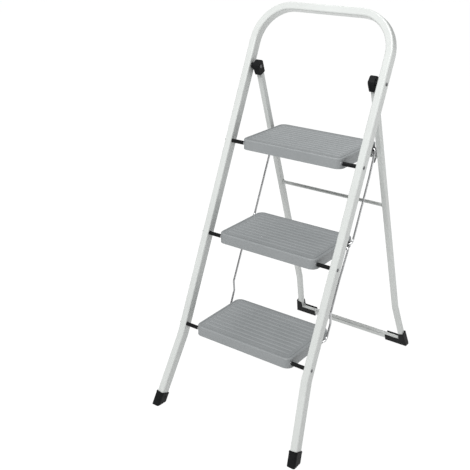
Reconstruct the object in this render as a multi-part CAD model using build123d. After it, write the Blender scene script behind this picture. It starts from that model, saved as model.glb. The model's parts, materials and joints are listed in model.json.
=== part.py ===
from build123d import *
import os
from math import cos, radians, sin, sqrt, tan

# Folding step ladder with three treads, millimetres, +Z up, standing on the floor.
# The front frame leans back by LEAN, the rear frame hangs from it by REAR_TILT.
LEAN = 23.5
REAR_TILT = 19.5
DEPTH_SHIFT = 365.311        # puts the middle of the depth at Y = 0

# Front frame: bent rectangular tube
FRONT_W = 20.0
FRONT_D = 28.0
FRONT_WALL = 1.2
FRONT_HALF = 200.0           # leg centreline from the middle
FRONT_LENGTH = 1152.0        # along the lean, floor line to the top edge
FRONT_TOP_R = 100.0
FLARE_START = 215.0
FLARE_FOOT = 223.5           # leg centreline at the floor

# Rear frame: bent square tube
REAR_W = 16.0
REAR_WALL = 1.2
REAR_HALF = 172.5
REAR_OFFSET = 6.0            # tube centre behind the hinge line
REAR_FLARE = 785.0
REAR_SLOPE = 0.11
REAR_BAR = 929.5
REAR_TOP = 10.0

# Hinge
HINGE_ALONG = 974.4
HINGE_PIN_R = 3.0

# Treads
TREAD_Z = [711.7, 474.0, 236.3]
TREAD_W = 304.0
TREAD_L = 202.0
TREAD_H = 28.0
TREAD_WALL = 2.6
TREAD_TOP = 3.0
NOSE_AHEAD = 10.0            # tread nose in front of the leg face
ROD_Y = 12.0                 # tread rod from the nose
ROD_Z = -14.0
ROD_R = 3.5
RIB_PITCH = 16.6
RIB_GROOVES = 10
BORDER = 7.0                 # shallow line round the tread's top, from its edge

# Link wires and their pins in tread coordinates
WIRE_R = 3.0
WIRE_X = 159.5
WIRE_END = 144.0             # tip inside the tread's skirt
UPPER_PIN = (173.0, -13.5)
LOWER_PIN = (161.5, -20.0)
# Bends of each wire: above its lower pin, behind the line through its pins, radius
UPPER_BENDS = [(12.0, 7.0, 12.0), (184.0, 6.8, 60.0)]
LOWER_BENDS = [(12.0, 8.0, 12.0), (53.0, 8.0, 14.0), (80.0, -6.8, 14.0), (170.0, -6.2, 60.0)]
HOOK_RIVETS = [(157.5, -9.7), (157.5, -20.3)]
HOOK_THICK = 2.5
TREAD_SIDE = TREAD_W / 2
SKIRT_INSIDE = TREAD_SIDE - TREAD_WALL

# Rods across the rear frame, distance below the hinge and behind it
SUPPORT_ALONG = 230.0
SUPPORT_OFFSET = 8.0
SUPPORT_R = 4.0
CROSS_ALONG = 390.0
CROSS_R = 5.0

SL, CL = sin(radians(LEAN)), cos(radians(LEAN))
SR, CR = sin(radians(REAR_TILT)), cos(radians(REAR_TILT))
HINGE_Y = HINGE_ALONG * SL + 0.5 * FRONT_D * CL - DEPTH_SHIFT
HINGE_Z = HINGE_ALONG * CL - 0.5 * FRONT_D * SL
FRONT = Plane(origin=(0, -DEPTH_SHIFT, 0), x_dir=(1, 0, 0), z_dir=(0, -CL, SL))
REAR = Plane(origin=(0, HINGE_Y, HINGE_Z), x_dir=(1, 0, 0), z_dir=(0, -CR, -SR))
TREADS = [(z * tan(radians(LEAN)) - NOSE_AHEAD - DEPTH_SHIFT, z) for z in TREAD_Z]


def save(shape, name):
    shape.label = name
    export_step(shape, f"parts/{name}.step")


def both(shape):
    """The shape on the right and its mirror image on the left, as separate solids."""
    return Compound(children=solids_of(shape) + solids_of(mirror(shape, about=Plane.YZ)))


def solids_of(shape):
    return list(shape.solids())


def rounded_path(points, radii):
    """Straight runs through the points, with an arc of the given radius at each inner point."""
    pts = [Vector(*p) for p in points]
    edges = []
    start = pts[0]
    for i in range(1, len(pts) - 1):
        a = (pts[i - 1] - pts[i]).normalized()
        b = (pts[i + 1] - pts[i]).normalized()
        half = radians(a.get_angle(b)) / 2
        reach = radii[i - 1] / tan(half)
        middle = (a + b).normalized()
        arc_mid = pts[i] + middle * (radii[i - 1] / sin(half) - radii[i - 1])
        edges.append(Edge.make_line(start, pts[i] + a * reach))
        edges.append(Edge.make_three_point_arc(pts[i] + a * reach, arc_mid, pts[i] + b * reach))
        start = pts[i] + b * reach
    edges.append(Edge.make_line(start, pts[-1]))
    return Wire(edges)


def tube_along(path, sketch, side):
    """A section carried along a path; side is the section's own X direction at the start."""
    start = path @ 0
    plane = Plane(origin=start, x_dir=side, z_dir=path % 0)
    return sweep(plane * sketch, path=path)


def rod_x(x0, x1, y, z, radius):
    """A round bar parallel to X."""
    plane = Plane(origin=(x0, y, z), x_dir=(0, 1, 0), z_dir=(1, 0, 0))
    return extrude(plane * Circle(radius), x1 - x0)


def domed(x0, height, y, z, radius):
    """A rivet head standing out along +X from x0."""
    plane = Plane(origin=(x0, y, z), x_dir=(0, 1, 0), z_dir=(1, 0, 0))
    head = extrude(plane * Circle(radius), height)
    return fillet(head.edges().sort_by(Axis.X)[-1:], height * 0.8)


def rear_point(along, behind):
    """Y and Z of a point below the hinge line, along the rear leg."""
    return HINGE_Y + along * SR + behind * CR, HINGE_Z - along * CR + behind * SR


# ---------------------------------------------------------------- front frame

def front_path():
    slope = (FLARE_FOOT - FRONT_HALF) / FLARE_START
    low = -30.0
    top = FRONT_LENGTH - FRONT_W / 2
    right = [(FLARE_FOOT - low * slope, low), (FRONT_HALF, FLARE_START), (FRONT_HALF, top)]
    left = [(-x, s) for x, s in reversed(right)]
    points = [(x, s, -FRONT_D / 2) for x, s in right + left]
    return rounded_path(points, [120.0, FRONT_TOP_R, FRONT_TOP_R, 120.0])


def front_solid(width, depth, corner):
    path = front_path()
    tangent = path % 0
    side = Vector(tangent.Y, -tangent.X, 0)
    section = RectangleRounded(width, depth, corner)
    return FRONT.location * tube_along(path, section, side)


def below_floor(height):
    return Pos(0, 0, height - 100) * Box(1000, 1600, 200)


def front_frame():
    outer = front_solid(FRONT_W, FRONT_D, 4.0)
    inner = front_solid(FRONT_W - 2 * FRONT_WALL, FRONT_D - 2 * FRONT_WALL, 2.8)
    frame = outer - inner - below_floor(4.0)
    for nose_y, top_z in TREADS:
        frame -= rod_x(-230, 230, nose_y + ROD_Y, top_z + ROD_Z, ROD_R)
    return frame - rod_x(-230, 230, HINGE_Y, HINGE_Z, HINGE_PIN_R)


def foot_cap():
    """Right foot: a closed moulded boot over the end of the tube, level on the floor."""
    slope = (FLARE_FOOT - FRONT_HALF) / FLARE_START
    run = Vector(-slope, 1, 0).normalized()
    x_dir = Vector(run.Y, -run.X, 0)
    low = -30.0
    start = Vector(FLARE_FOOT - low * slope, low, -FRONT_D / 2)
    plane = Plane(origin=start, x_dir=x_dir, z_dir=run)
    boot = extrude(plane * RectangleRounded(24.6, 32.6, 5.6), 70.5)
    lip = plane.offset(65.8) * RectangleRounded(25.4, 33.4, 6.0)
    boot = chamfer(boot.faces().sort_by(Axis.Y)[-1].edges(), 0.8)
    boot += extrude(lip, 3.0)
    pip = plane.offset(57.0) * Pos(-12.3, 3.0) * Rot(Y=-90)
    boot += extrude(pip * Ellipse(3.6, 2.2), 0.7)
    boot = FRONT.location * boot
    boot -= below_floor(0.0)
    filled = front_solid(FRONT_W, FRONT_D, 4.0) - below_floor(4.0)
    boot -= filled
    for k in range(3):
        groove_y = -DEPTH_SHIFT + 4 + 8 * k
        boot -= Pos(FLARE_FOOT, groove_y, 0) * Box(60, 2.5, 2.4)
    return boot


def step_rod(nose_y, top_z):
    y, z = nose_y + ROD_Y, top_z + ROD_Z
    end = FRONT_HALF + FRONT_W / 2
    head = domed(end, 1.6, y, z, 4.4)
    return rod_x(-end, end, y, z, ROD_R) + head + mirror(head, about=Plane.YZ)


def rod_sleeves():
    sleeves = []
    inner_face = FRONT_HALF - FRONT_W / 2
    for nose_y, top_z in TREADS:
        y, z = nose_y + ROD_Y, top_z + ROD_Z
        sleeve = rod_x(TREAD_SIDE + 0.4, inner_face, y, z, 5.25)
        sleeve = chamfer(sleeve.edges().filter_by(GeomType.CIRCLE), 0.5)
        sleeve -= rod_x(100, 230, y, z, ROD_R)
        sleeves += solids_of(sleeve) + solids_of(mirror(sleeve, about=Plane.YZ))
    return Compound(children=sleeves)


def hinge_pins():
    end = FRONT_HALF + FRONT_W / 2
    pin = rod_x(162.2, end, HINGE_Y, HINGE_Z, HINGE_PIN_R)
    pin += domed(end, 1.8, HINGE_Y, HINGE_Z, 4.5)
    pin += rod_x(160.8, 162.2, HINGE_Y, HINGE_Z, 4.8)
    return both(pin)


# ----------------------------------------------------------------- rear frame

def rear_path():
    foot_x = REAR_HALF + (REAR_BAR - REAR_FLARE) * REAR_SLOPE
    right = [(REAR_HALF, -REAR_TOP), (REAR_HALF, -REAR_FLARE), (foot_x, -REAR_BAR)]
    left = [(-x, s) for x, s in reversed(right)]
    points = [(x, s, -REAR_OFFSET) for x, s in right + left]
    return rounded_path(points, [100.0, 17.0, 17.0, 100.0])


def rear_solid(width, corner):
    path = rear_path()
    return REAR.location * tube_along(path, RectangleRounded(width, width, corner), (1, 0, 0))


def rear_frame():
    outer = rear_solid(REAR_W, 3.0)
    return outer - rear_solid(REAR_W - 2 * REAR_WALL, 1.8)


def hinge_insert():
    """Right steel eye pressed into the top of the rear leg; it turns on the hinge pin."""
    half = REAR_W / 2 - REAR_WALL
    x0, x1 = REAR_HALF - half, REAR_HALF + half
    plug = REAR.location * Pos(REAR_HALF, -28, -REAR_OFFSET) * Box(2 * half, 36, 2 * half)
    plug = fillet(plug.edges().filter_by(lambda e: abs((e % 0.5).X) < 0.1 and e.length > 30), 1.8)
    eye = rod_x(x0, x1, HINGE_Y, HINGE_Z, 8.5)
    neck = REAR.location * Pos(REAR_HALF, -7, -5.5) * Box(2 * half, 14, 8.0)
    shape = plug + eye + neck
    return shape - rod_x(100, 230, HINGE_Y, HINGE_Z, HINGE_PIN_R + 0.05)


def hinge_cap_outer():
    """Right cap's outside: its crown is highest at the back and slopes down to the front."""
    profile = [(-24.5, -6.6), (-2.0, -9.8), (5.0, -8.8), (13.5, 3.5), (14.2, 10.0), (9.5, 15.6)]
    profile += [(-23.0, 16.0)]
    plane = REAR * Plane(origin=(163, 0, 0), x_dir=(0, 1, 0), z_dir=(1, 0, 0))
    outline = plane * make_face(Polyline(*[(up, -back) for up, back in profile], close=True))
    cap = extrude(outline, 18.8)
    long_edges = cap.edges().filter_by(lambda e: abs((e % 0.5).X) > 0.99)
    return fillet(long_edges, 2.6)


def hinge_cap():
    """Right moulded cap over the rear leg top, with a boss towards the front leg."""
    cap = hinge_cap_outer()
    cap = chamfer(cap.faces().sort_by(Axis.X)[-1].edges(), 1.2)
    cap = fillet(cap.faces().sort_by(Axis.X)[0].edges(), 1.2)
    cap += rod_x(180.6, 189.6, HINGE_Y, HINGE_Z, 7.8)
    cap -= rear_solid(REAR_W, 3.0)
    cap -= hinge_insert()
    return cap - rod_x(100, 230, HINGE_Y, HINGE_Z, HINGE_PIN_R + 0.4)


def shoe_layer(points, behind0, behind1):
    """A plate parallel to the rear frame; points are (side, distance below the hinge)."""
    face = make_face(Polyline(*[(x, -below) for x, below in points], close=True))
    return REAR.location * Pos(0, 0, -behind1) * extrude(face, behind1 - behind0)


def shoe_wall():
    """The shoe's outer wall and sole, over its full depth."""
    points = [(188, 897), (196.5, 892), (203, 940), (203, 960), (131, 960)]
    points += [(131, 937), (184, 937), (188, 925)]
    wall = shoe_layer(points, -4.3, 16.3)
    outer = wall.edges().filter_by(lambda e: e.center().X > 198.5 and abs((e % 0.5).X) < 0.3)
    return fillet(outer.filter_by(lambda e: e.length > 15), 2.0)


def rear_shoe():
    """Right corner shoe: a channel under the bar that runs up outside the leg."""
    front = [(131, 920.3), (179.5, 920.3), (178.5, 898), (195.2, 893.5), (201, 940)]
    back = [(131, 918.5), (177, 918.5), (176.5, 896), (195.2, 892), (201, 940)]
    sole = [(201, 960), (131, 960)]
    shoe = shoe_wall() + shoe_layer(front + sole, -4.3, -1.5) + shoe_layer(back + sole, 13.5, 16.3)
    return shoe - rear_solid(REAR_W, 3.0) - below_floor(0.0)


def main_solid(shape):
    return max(shape.solids(), key=lambda s: s.volume)


def shoe_rivets():
    """One rivet on each side, down through the bar's top face near the shoe's inner end."""
    y, z = rear_point(REAR_BAR, REAR_OFFSET)
    plane = Plane(origin=(146, y, z), x_dir=(1, 0, 0), z_dir=(0, -CR, -SR))
    face = plane.offset(REAR_W / 2 - REAR_WALL)
    rivet = extrude(face * Circle(1.8), REAR_WALL)
    rivet += extrude(plane.offset(REAR_W / 2) * Circle(3.2), 1.2)
    return rivet


# --------------------------------------------------------------------- treads

def tread_blank(inset, z0, z1):
    """A slab with the tread's rounded plan, pulled in by inset, in tread coordinates."""
    corner = 20.0 - inset
    plan = RectangleRounded(TREAD_W - 2 * inset, TREAD_L - 2 * inset, corner)
    return extrude(Pos(0, TREAD_L / 2, z0) * plan, z1 - z0)


def tread_grooves():
    """Rounded grooves across the tread that leave raised ribs, and a thin line round them."""
    radius, lift = 5.5, 4.2
    reach = TREAD_SIDE - 20.5
    groove = rod_x(-reach, reach, 0, lift, radius)
    groove += Pos(reach, 0, lift) * Sphere(radius)
    groove += Pos(-reach, 0, lift) * Sphere(radius)
    first = TREAD_L / 2 - RIB_PITCH * (RIB_GROOVES - 1) / 2 - 1.8
    cuts = [Pos(0, first + RIB_PITCH * k, 0) * groove for k in range(RIB_GROOVES)]
    ring = tread_blank(BORDER, -0.7, 2.0) - tread_blank(BORDER + 1.6, -0.7, 2.0)
    return cuts + [ring]


def tread_webs():
    webs = []
    for x in (-75.0, 0.0, 75.0):
        webs.append(Pos(x, TREAD_L / 2 - 8, -12.5) * Box(2.4, TREAD_L - 20, 21))
    return webs


def tread(pins):
    """A moulded pan: ribbed top, skirt all round, three webs below, in tread coordinates."""
    slab = tread_blank(0.0, -TREAD_H, 0.0)
    slab = fillet(slab.faces().sort_by(Axis.Z)[-1].edges(), 3.2)
    slab -= tread_blank(TREAD_WALL, -TREAD_H - 1, -TREAD_TOP)
    for web in tread_webs():
        slab += web
    for cut in tread_grooves():
        slab -= cut
    slab -= stiffener_blank()
    slab -= rod_x(-SKIRT_INSIDE, SKIRT_INSIDE, ROD_Y, ROD_Z, 5.0)
    slab -= rod_x(-160, 160, ROD_Y, ROD_Z, ROD_R + 0.08)
    for y, z in pins:
        slab -= rod_x(-160, 160, y, z, 4.5)
    return slab


def hinge_tube():
    tube = rod_x(-SKIRT_INSIDE, SKIRT_INSIDE, ROD_Y, ROD_Z, 5.0)
    return tube - rod_x(-160, 160, ROD_Y, ROD_Z, ROD_R + 0.06)


def stiffener_blank():
    return Pos(0, TREAD_L - 11.6, -11.5) * Box(264, 14, 17)


def stiffener():
    channel = stiffener_blank()
    return channel - Pos(0, TREAD_L - 11.6, -13.5) * Box(264, 11, 17)


def bush(pin, bore):
    """Right bush: a barrel through the tread skirt with a flange outside it."""
    y, z = pin
    shape = rod_x(SKIRT_INSIDE - 2.4, TREAD_SIDE, y, z, 4.5)
    shape += rod_x(TREAD_SIDE, TREAD_SIDE + 1.6, y, z, 6.0)
    return shape - rod_x(140, 160, y, z, bore)


def hook_plate():
    """Right hook: a plate on the tread side whose arm reaches behind the support rod."""
    outline = [(154, -5), (177, -5), (187, -14), (195, -26), (196.5, -41.7), (188, -54.2)]
    outline += [(184, -55.5)]
    outline += [(180.5, -52.7), (178.5, -31.7), (172, -26), (154, -26)]
    plane = Plane(origin=(TREAD_SIDE, 0, 0), x_dir=(0, 1, 0), z_dir=(1, 0, 0))
    plate = extrude(plane * make_face(Polyline(*outline, close=True)), HOOK_THICK)
    plate = fillet(plate.edges().filter_by(Axis.X), 1.4)
    plate -= hook_slot()
    x0, x1 = TREAD_SIDE - 1, TREAD_SIDE + HOOK_THICK + 1
    plate -= rod_x(x0, x1, UPPER_PIN[0], UPPER_PIN[1], 6.5)
    for y, z in HOOK_RIVETS:
        plate -= rod_x(x0, x1, y, z, 2.0)
    return plate


def hook_slot():
    """The mouth that takes the support rod, open downwards and to the front."""
    x0, x1, half = TREAD_SIDE - 1, TREAD_SIDE + HOOK_THICK + 1, SUPPORT_R + 0.7
    y, z = support_in_tread()
    end_y, end_z = y - 20.0, z - 25.2
    run = sqrt(20.0 ** 2 + 25.2 ** 2)
    dy, dz = 25.2 / run * half, -20.0 / run * half
    corners = [(y + dy, z + dz), (y - dy, z - dz), (end_y - dy, end_z - dz), (end_y + dy, end_z + dz)]
    plane = Plane(origin=(x0, 0, 0), x_dir=(0, 1, 0), z_dir=(1, 0, 0))
    slot = extrude(plane * make_face(Polyline(*corners, close=True)), x1 - x0)
    return slot + rod_x(x0, x1, y, z, half)


def hook_rivets():
    rivets = []
    for y, z in HOOK_RIVETS:
        rivet = rod_x(SKIRT_INSIDE, TREAD_SIDE + HOOK_THICK, y, z, 2.0)
        rivet += domed(TREAD_SIDE + HOOK_THICK, 1.4, y, z, 3.6)
        rivet += rod_x(SKIRT_INSIDE - 1.2, SKIRT_INSIDE, y, z, 3.4)
        rivets += solids_of(rivet)
    return Compound(children=rivets)


def support_in_tread():
    """The support rod's place in the top tread's coordinates."""
    y, z = rear_point(SUPPORT_ALONG, SUPPORT_OFFSET)
    return y - TREADS[0][0], z - TREADS[0][1]


def link_wire(upper, lower, pin, bends):
    """Right wire between two treads: its ends turn inwards through the tread skirts.

    Each bend is (above the lower pin, behind the line through the pins, radius).
    """
    low_y, low_z = lower[0] + pin[0], lower[1] + pin[1]
    gap = (upper[1] - lower[1]) / CL
    stops = [(0.0, 0.0, 6.0)] + bends + [(gap, 0.0, 6.0)]
    points = []
    for above, behind, _ in stops:
        points.append((WIRE_X, low_y + above * SL + behind * CL, low_z + above * CL - behind * SL))
    ends = [(WIRE_END, *points[0][1:])], [(WIRE_END, *points[-1][1:])]
    path = rounded_path(ends[0] + points + ends[1], [radius for _, _, radius in stops])
    return tube_along(path, Circle(WIRE_R), (0, 1, 0))


def place(shape, tread_at):
    return Pos(0, tread_at[0], tread_at[1]) * shape


# ---------------------------------------------------------------------- build

def build_front():
    save(front_frame(), "front_frame")
    cap = main_solid(foot_cap())
    save(cap, "front_foot_right")
    save(mirror(cap, about=Plane.YZ), "front_foot_left")
    for name, at in zip(("top", "middle", "bottom"), TREADS):
        save(step_rod(*at), f"step_rod_{name}")
    save(rod_sleeves(), "rod_sleeves")
    save(hinge_pins(), "hinge_pins")


def build_rear():
    rivet = shoe_rivets()
    frame = rear_frame() - rivet - mirror(rivet, about=Plane.YZ)
    save(frame, "rear_frame")
    inner = REAR_HALF - REAR_W / 2
    save(rod_x(-inner, inner, *rear_point(CROSS_ALONG, REAR_OFFSET), CROSS_R), "rear_crossbar")
    support = rear_point(SUPPORT_ALONG, SUPPORT_OFFSET)
    save(rod_x(-inner, inner, *support, SUPPORT_R), "support_rod")
    save(both(hinge_insert()), "hinge_inserts")
    cap = main_solid(hinge_cap())
    save(cap, "hinge_cap_right")
    save(mirror(cap, about=Plane.YZ), "hinge_cap_left")
    shoe = main_solid(rear_shoe()) - rivet
    save(shoe, "rear_shoe_right")
    save(mirror(shoe, about=Plane.YZ), "rear_shoe_left")
    save(both(rivet), "shoe_rivets")


def build_treads():
    pins = [[UPPER_PIN], [UPPER_PIN, LOWER_PIN], [LOWER_PIN]]
    for name, at, holes in zip(("top", "middle", "bottom"), TREADS, pins):
        shape = tread(holes)
        if name == "top":
            for y, z in HOOK_RIVETS:
                shape -= rod_x(-TREAD_W, TREAD_W, y, z, 2.0)
        save(place(shape, at), f"tread_{name}")
        save(place(hinge_tube(), at), f"hinge_tube_{name}")
        save(place(stiffener(), at), f"stiffener_{name}")
    turning, opened = WIRE_R + 0.05, WIRE_R + 0.4
    save(both(place(bush(UPPER_PIN, turning), TREADS[0])), "link_bushes_top")
    save(both(place(bush(UPPER_PIN, opened), TREADS[1])), "link_bushes_middle_upper")
    save(both(place(bush(LOWER_PIN, turning), TREADS[1])), "link_bushes_middle_lower")
    save(both(place(bush(LOWER_PIN, opened), TREADS[2])), "link_bushes_bottom")
    save(both(place(hook_plate(), TREADS[0])), "hook_plates")
    save(both(place(hook_rivets(), TREADS[0])), "hook_rivets")


def build_wires():
    upper = link_wire(TREADS[0], TREADS[1], UPPER_PIN, UPPER_BENDS)
    lower = link_wire(TREADS[1], TREADS[2], LOWER_PIN, LOWER_BENDS)
    save(upper, "link_wire_upper_right")
    save(mirror(upper, about=Plane.YZ), "link_wire_upper_left")
    save(lower, "link_wire_lower_right")
    save(mirror(lower, about=Plane.YZ), "link_wire_lower_left")


os.makedirs("parts", exist_ok=True)
build_front()
build_rear()
build_treads()
build_wires()
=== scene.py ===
import json
import math

import bmesh
import bpy
from mathutils import Matrix, Vector


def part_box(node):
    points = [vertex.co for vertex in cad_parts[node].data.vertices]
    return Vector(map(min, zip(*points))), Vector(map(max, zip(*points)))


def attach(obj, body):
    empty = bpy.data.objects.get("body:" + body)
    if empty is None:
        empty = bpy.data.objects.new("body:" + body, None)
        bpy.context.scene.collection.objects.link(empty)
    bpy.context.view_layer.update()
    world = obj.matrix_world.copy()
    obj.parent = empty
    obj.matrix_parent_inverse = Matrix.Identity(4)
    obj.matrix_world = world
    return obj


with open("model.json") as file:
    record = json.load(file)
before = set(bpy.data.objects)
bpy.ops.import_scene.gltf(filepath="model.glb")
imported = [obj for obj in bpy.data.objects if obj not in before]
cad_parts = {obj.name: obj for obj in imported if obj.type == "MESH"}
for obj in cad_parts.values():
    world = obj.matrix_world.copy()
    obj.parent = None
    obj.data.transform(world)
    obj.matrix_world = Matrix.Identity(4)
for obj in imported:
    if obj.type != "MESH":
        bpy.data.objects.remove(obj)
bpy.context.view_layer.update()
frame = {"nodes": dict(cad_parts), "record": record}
nodes = frame["nodes"]


# ---------------------------------------------------------------- settings
# Lengths are in metres, light powers in watts, colours linear.

# Darkest and lightest tone of each finish, and of the marks on it.
PAINT = ((0.532, 0.55, 0.537), (0.555, 0.574, 0.56))
PAINT_SMUDGE = (0.50, 0.514, 0.505)
TREAD = ((0.228, 0.241, 0.246), (0.244, 0.257, 0.262))
TREAD_SCUFF = (0.26, 0.272, 0.277)
BLACK = ((0.006, 0.0065, 0.007), (0.010, 0.0105, 0.011))
ZINC = ((0.50, 0.505, 0.51), (0.60, 0.605, 0.61))
DRAWN_STEEL = ((0.40, 0.41, 0.42), (0.52, 0.53, 0.54))
PASSIVATED = ((0.15, 0.153, 0.157), (0.24, 0.243, 0.247))
BLACK_OXIDE = ((0.09, 0.092, 0.096), (0.13, 0.132, 0.137))
FLOOR = ((0.05, 0.05, 0.05), (0.055, 0.055, 0.055))

# Weld beads: one turn of the section round the bar, rippled as it goes.
# A section point is (along the bar from its end, out from the bar), in bead sizes.
BEAD_SECTION = [
    (-1.15, -0.2), (-1.1, 0.1), (-0.75, 0.42), (-0.35, 0.72),
    (-0.08, 1.0), (0.45, 1.02), (0.5, -0.2),
]
BEAD_STEPS = 72
BEAD_RIPPLES = 18
BEAD_RIPPLE_DEPTH = 0.07
BEAD_LOBES = 3
BEAD_LOBE_DEPTH = 0.05
BEAD_LOBE_PHASE = 40
BEAD_TOE = -0.1
BEADS = (("rear_crossbar", "crossbar", 0.0021), ("support_rod", "support_rod", 0.0014))

FLOOR_HALF = 30.0
FLOOR_GLOW = (0.99, 0.99, 0.99, 1)
WORLD_COLOUR = (1, 1, 1, 1)
WORLD_STRENGTH = 0.15

# Name, place, what it is turned to, its two sides, and its power.
LAMPS = (
    ("key", (0.15, -3.4, 5.2), (0, 0, 0.6), (2.6, 2.6), 400),
    ("top", (-0.3, 0.4, 3.2), (0, 0.1, 0.3), (2.0, 2.0), 4),
    ("back", (-0.9, 1.5, 3.1), (0, 0.25, 0.2), (1.4, 1.2), 18),
    ("side", (1.2, 0.2, 1.0), (0.2, 0.0, 0.7), (0.9, 1.4), 4.5),
)

CAMERA_AT = Vector((1.044432, -1.733677, 1.299607))
CAMERA_RIGHT = Vector((0.80686445, 0.59070767, 0.00584769))
CAMERA_UP = Vector((-0.23440127, 0.31105766, 0.92103158))
CAMERA_BACK = Vector((0.54224146, -0.74451835, 0.389444))
SENSOR_MM = 36.0
LENS_MM = 60.609

# The colour sockets of a Mix node that mixes colours.
MIX_A, MIX_B, MIX_RESULT = 6, 7, 2


# ------------------------------------------------------------- node helpers

def new_material(name):
    mat = bpy.data.materials.new(name)
    mat.use_nodes = True
    tree = mat.node_tree
    tree.nodes.clear()
    out = tree.nodes.new("ShaderNodeOutputMaterial")
    shader = tree.nodes.new("ShaderNodeBsdfPrincipled")
    tree.links.new(shader.outputs["BSDF"], out.inputs["Surface"])
    return mat, tree, shader


def coords(tree, scale=(1, 1, 1)):
    coord = tree.nodes.new("ShaderNodeTexCoord")
    mapping = tree.nodes.new("ShaderNodeMapping")
    mapping.inputs["Scale"].default_value = scale
    tree.links.new(coord.outputs["Object"], mapping.inputs["Vector"])
    return mapping.outputs["Vector"]


def noise(tree, vector, scale, detail=2.0, rough=0.5):
    node = tree.nodes.new("ShaderNodeTexNoise")
    node.inputs["Scale"].default_value = scale
    node.inputs["Detail"].default_value = detail
    node.inputs["Roughness"].default_value = rough
    tree.links.new(vector, node.inputs["Vector"])
    return node.outputs["Fac"]


def tones(tree, value, colours, low=0.3, high=0.7):
    """Two colours, blended over the given part of a value's range."""
    node = tree.nodes.new("ShaderNodeValToRGB")
    tree.links.new(value, node.inputs["Fac"])
    first, last = node.color_ramp.elements
    first.position, first.color = low, (*colours[0], 1)
    last.position, last.color = high, (*colours[1], 1)
    return node.outputs["Color"]


def span(tree, value, low, high, to_low=0.0, to_high=1.0):
    """A value's range, mapped to another range."""
    node = tree.nodes.new("ShaderNodeMapRange")
    node.inputs["From Min"].default_value = low
    node.inputs["From Max"].default_value = high
    node.inputs["To Min"].default_value = to_low
    node.inputs["To Max"].default_value = to_high
    tree.links.new(value, node.inputs["Value"])
    return node.outputs["Result"]


def marked(tree, amount, base, colour):
    """The base colour, with one other colour where the amount says."""
    node = tree.nodes.new("ShaderNodeMix")
    node.data_type = "RGBA"
    tree.links.new(amount, node.inputs["Factor"])
    tree.links.new(base, node.inputs[MIX_A])
    node.inputs[MIX_B].default_value = (*colour, 1)
    return node.outputs[MIX_RESULT]


def bump(tree, height, strength, distance):
    node = tree.nodes.new("ShaderNodeBump")
    node.inputs["Strength"].default_value = strength
    node.inputs["Distance"].default_value = distance
    tree.links.new(height, node.inputs["Height"])
    return node.outputs["Normal"]


# ---------------------------------------------------------------- materials

def powder_coat():
    mat, tree, shader = new_material("powder_coat_white")
    at = coords(tree)
    base = tones(tree, noise(tree, at, scale=9.0, detail=3.0), PAINT)
    smudge = span(tree, noise(tree, at, scale=34.0, detail=5.0, rough=0.6), 0.62, 0.75)
    tree.links.new(marked(tree, smudge, base, PAINT_SMUDGE), shader.inputs["Base Color"])
    cloud = noise(tree, at, scale=55.0, detail=4.0)
    gloss = span(tree, cloud, 0.3, 0.7, to_low=0.30, to_high=0.40)
    tree.links.new(gloss, shader.inputs["Roughness"])
    shader.inputs["Specular IOR Level"].default_value = 0.5
    shader.inputs["Coat Weight"].default_value = 0.25
    shader.inputs["Coat Roughness"].default_value = 0.12
    peel = bump(tree, noise(tree, at, scale=620.0), strength=0.05, distance=0.0004)
    tree.links.new(peel, shader.inputs["Normal"])
    return mat


def grey_moulding():
    mat, tree, shader = new_material("tread_grey_plastic")
    at = coords(tree)
    base = tones(tree, noise(tree, at, scale=14.0, detail=4.0), TREAD)
    across = coords(tree, (30, 6, 30))
    scuff = span(tree, noise(tree, across, scale=9.0, detail=6.0, rough=0.65), 0.6, 0.78)
    tree.links.new(marked(tree, scuff, base, TREAD_SCUFF), shader.inputs["Base Color"])
    cloud = noise(tree, at, scale=70.0, detail=4.0)
    rough = span(tree, cloud, 0.3, 0.7, to_low=0.42, to_high=0.56)
    tree.links.new(rough, shader.inputs["Roughness"])
    grain = bump(tree, noise(tree, at, scale=1500.0), strength=0.07, distance=0.0003)
    tree.links.new(grain, shader.inputs["Normal"])
    return mat


def black_moulding():
    mat, tree, shader = new_material("black_plastic")
    at = coords(tree)
    base = tones(tree, noise(tree, at, scale=60.0, detail=4.0), BLACK, high=0.75)
    tree.links.new(base, shader.inputs["Base Color"])
    cloud = noise(tree, at, scale=180.0, detail=3.0)
    rough = span(tree, cloud, 0.3, 0.7, to_low=0.38, to_high=0.55)
    shader.inputs["Specular IOR Level"].default_value = 0.10
    tree.links.new(rough, shader.inputs["Roughness"])
    grain = bump(tree, noise(tree, at, scale=1900.0), strength=0.25, distance=0.0003)
    tree.links.new(grain, shader.inputs["Normal"])
    return mat


def bright_metal(name, colours, smooth, dull, stretch=(1, 1, 1)):
    mat, tree, shader = new_material(name)
    shader.inputs["Metallic"].default_value = 1.0
    at = coords(tree, stretch)
    base = tones(tree, noise(tree, at, scale=240.0, detail=4.0), colours)
    tree.links.new(base, shader.inputs["Base Color"])
    cloud = noise(tree, at, scale=420.0, detail=3.0)
    rough = span(tree, cloud, 0.3, 0.7, to_low=smooth, to_high=dull)
    tree.links.new(rough, shader.inputs["Roughness"])
    grain = bump(tree, noise(tree, at, scale=900.0), strength=0.12, distance=0.0002)
    tree.links.new(grain, shader.inputs["Normal"])
    return mat


def dark_coat(name, colours):
    mat, tree, shader = new_material(name)
    at = coords(tree)
    base = tones(tree, noise(tree, at, scale=90.0, detail=4.0), colours, high=0.75)
    shader.inputs["Metallic"].default_value = 0.6
    tree.links.new(base, shader.inputs["Base Color"])
    cloud = noise(tree, at, scale=150.0, detail=3.0)
    rough = span(tree, cloud, 0.3, 0.7, to_low=0.36, to_high=0.5)
    tree.links.new(rough, shader.inputs["Roughness"])
    grain = bump(tree, noise(tree, at, scale=800.0), strength=0.15, distance=0.0003)
    tree.links.new(grain, shader.inputs["Normal"])
    return mat


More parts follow.
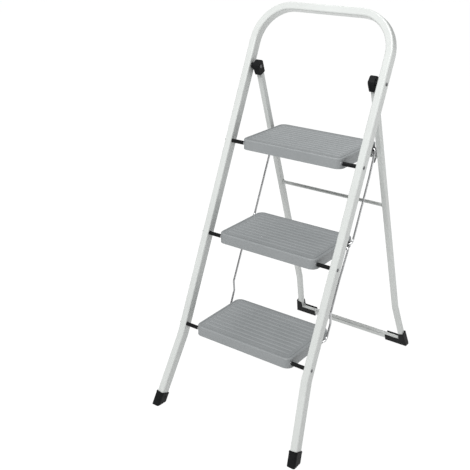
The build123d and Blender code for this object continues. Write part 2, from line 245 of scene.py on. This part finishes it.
MATS = {
    "powder_coat": powder_coat(),
    "grey_moulding": grey_moulding(),
    "black_moulding": black_moulding(),
    "zinc_steel": bright_metal("zinc_plated_steel", ZINC, smooth=0.26, dull=0.40),
    "bare_steel": bright_metal(
        "drawn_steel", DRAWN_STEEL, smooth=0.32, dull=0.5, stretch=(0.05, 1, 1)),
    "hook_steel": dark_coat("grey_passivated_steel", PASSIVATED),
    "dark_steel": dark_coat("black_oxide_steel", BLACK_OXIDE),
    "bush_plastic": black_moulding(),
}
for part in frame["record"]["subparts"]:
    obj = nodes[part["node"]]
    obj.data.materials.clear()
    obj.data.materials.append(MATS[part["material_slot"]])


# ------------------------------------------------------------- added pieces

def bead_ring(bm, turn, x, y, z, radius, size):
    """The bead's section at one turn round the bar."""
    inward = -1 if x > 0 else 1
    lobes = BEAD_LOBE_DEPTH * math.sin(BEAD_LOBES * turn + x * BEAD_LOBE_PHASE)
    ripple = 1.0 + BEAD_RIPPLE_DEPTH * math.sin(BEAD_RIPPLES * turn) + lobes
    ring = []
    for along, out in BEAD_SECTION:
        r = radius + out * size * (ripple if out > 0 else 1.0)
        at = x - inward * along * size * (ripple if along < BEAD_TOE else 1.0)
        ring.append(bm.verts.new((at, y + r * math.cos(turn), z + r * math.sin(turn))))
    return ring


def weld_bead(name, x, y, z, radius, size):
    """A rippled fillet weld round a bar's end, against the leg that it is welded to."""
    bm = bmesh.new()
    turns = [2 * math.pi * i / BEAD_STEPS for i in range(BEAD_STEPS)]
    rings = [bead_ring(bm, turn, x, y, z, radius, size) for turn in turns]
    count = len(BEAD_SECTION)
    for i, a in enumerate(rings):
        b = rings[(i + 1) % BEAD_STEPS]
        for k in range(count):
            bm.faces.new((a[k], a[(k + 1) % count], b[(k + 1) % count], b[k]))
    bmesh.ops.recalc_face_normals(bm, faces=bm.faces)
    mesh = bpy.data.meshes.new(name)
    bm.to_mesh(mesh)
    bm.free()
    mesh.polygons.foreach_set("use_smooth", [True] * len(mesh.polygons))
    mesh.materials.append(MATS["powder_coat"])
    bead = bpy.data.objects.new(name, mesh)
    bpy.context.scene.collection.objects.link(bead)
    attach(bead, "rear")


def weld_beads():
    for node, label, size in BEADS:
        low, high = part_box(node)
        y, z = (low[1] + high[1]) / 2, (low[2] + high[2]) / 2
        radius = (high[2] - low[2]) / 2
        for side, x in (("right", high[0]), ("left", low[0])):
            weld_bead("weld_" + label + "_" + side, x, y, z, radius, size)


weld_beads()


# ------------------------------------------------------------ stage and light

def floor_material():
    """Even white that glows by itself and isn't sampled as a lamp, which keeps speckle away."""
    mat, tree, shader = new_material("floor_white")
    shader.inputs["Emission Color"].default_value = FLOOR_GLOW
    shader.inputs["Emission Strength"].default_value = 1.0
    base = tones(tree, noise(tree, coords(tree), scale=2.0), FLOOR)
    tree.links.new(base, shader.inputs["Base Color"])
    shader.inputs["Roughness"].default_value = 0.9
    shader.inputs["Specular IOR Level"].default_value = 0.1
    mat.cycles.emission_sampling = "NONE"
    return mat


def make_floor():
    mesh = bpy.data.meshes.new("floor")
    bm = bmesh.new()
    bmesh.ops.create_grid(bm, x_segments=2, y_segments=2, size=FLOOR_HALF)
    bm.to_mesh(mesh)
    bm.free()
    floor = bpy.data.objects.new("floor", mesh)
    bpy.context.scene.collection.objects.link(floor)
    mesh.materials.append(floor_material())


def make_lamp(name, at, target, size, power):
    data = bpy.data.lights.new(name, "AREA")
    data.shape = "RECTANGLE"
    data.size, data.size_y = size
    data.energy = power
    lamp = bpy.data.objects.new(name, data)
    lamp.location = at
    lamp.rotation_mode = "QUATERNION"
    lamp.rotation_quaternion = (Vector(target) - Vector(at)).to_track_quat("-Z", "Y")
    bpy.context.scene.collection.objects.link(lamp)


def make_world():
    world = bpy.data.worlds.new("studio")
    bpy.context.scene.world = world
    world.use_nodes = True
    background = world.node_tree.nodes["Background"]
    background.inputs["Color"].default_value = WORLD_COLOUR
    background.inputs["Strength"].default_value = WORLD_STRENGTH
    bpy.context.scene.view_settings.view_transform = "Standard"


def make_camera():
    data = bpy.data.cameras.new("camera")
    data.sensor_width = SENSOR_MM
    data.lens = LENS_MM
    camera = bpy.data.objects.new("camera", data)
    place = Matrix((CAMERA_RIGHT, CAMERA_UP, CAMERA_BACK)).transposed().to_4x4()
    place.translation = CAMERA_AT
    camera.matrix_world = place
    bpy.context.scene.collection.objects.link(camera)
    bpy.context.scene.camera = camera


make_floor()
make_world()
for lamp_settings in LAMPS:
    make_lamp(*lamp_settings)
make_camera()
